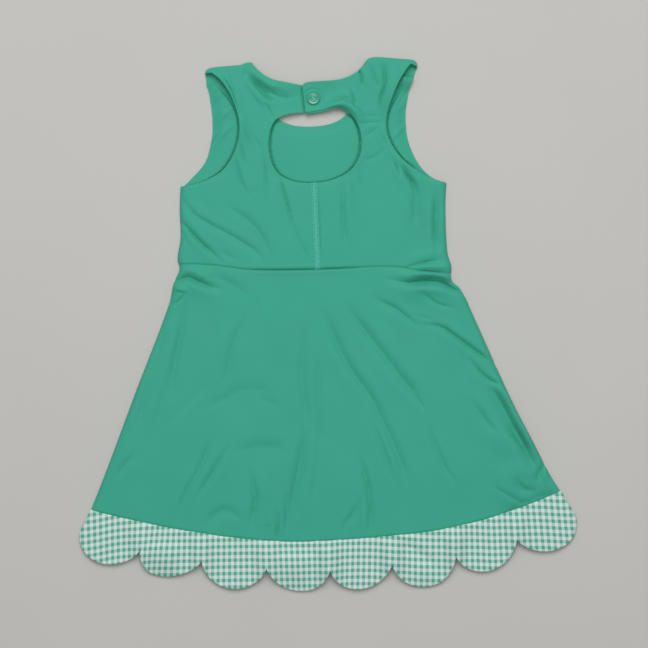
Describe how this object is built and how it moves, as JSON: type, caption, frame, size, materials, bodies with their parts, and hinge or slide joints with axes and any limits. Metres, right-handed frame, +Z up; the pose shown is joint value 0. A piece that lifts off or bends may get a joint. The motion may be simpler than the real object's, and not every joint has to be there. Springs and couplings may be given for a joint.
{
  "type": "athletic dress",
  "caption": "Sleeveless child's athletic dress laid flat, back up: keyhole back with a snapped neck tab, waist seam, A-line skirt and a scalloped gingham hem band.",
  "frame": {"origin": "centre of the laid-out dress in plan, on the surface that it lies on", "axes": "+Y towards the neck, +Z up from the surface, +X to the right as seen from above"},
  "size_m": [0.4972, 0.5343, 0.0088],
  "materials": {
    "green_knit": "soft stretch knit, low sheen",
    "green_gingham": "woven gingham, quarter-inch check",
    "green_plastic": "moulded, clear tinted"
  },
  "bodies": {
    "root": {"front_bodice": "green_knit", "back_bodice_left": "green_knit", "back_bodice_right": "green_knit", "front_skirt": "green_knit", "back_skirt": "green_knit", "front_hem_band": "green_gingham", "back_hem_band": "green_gingham", "stud_cap": "green_plastic", "stud_joint": "green_plastic", "stud_under_cap": "green_plastic"}
  },
  "joints": []
}
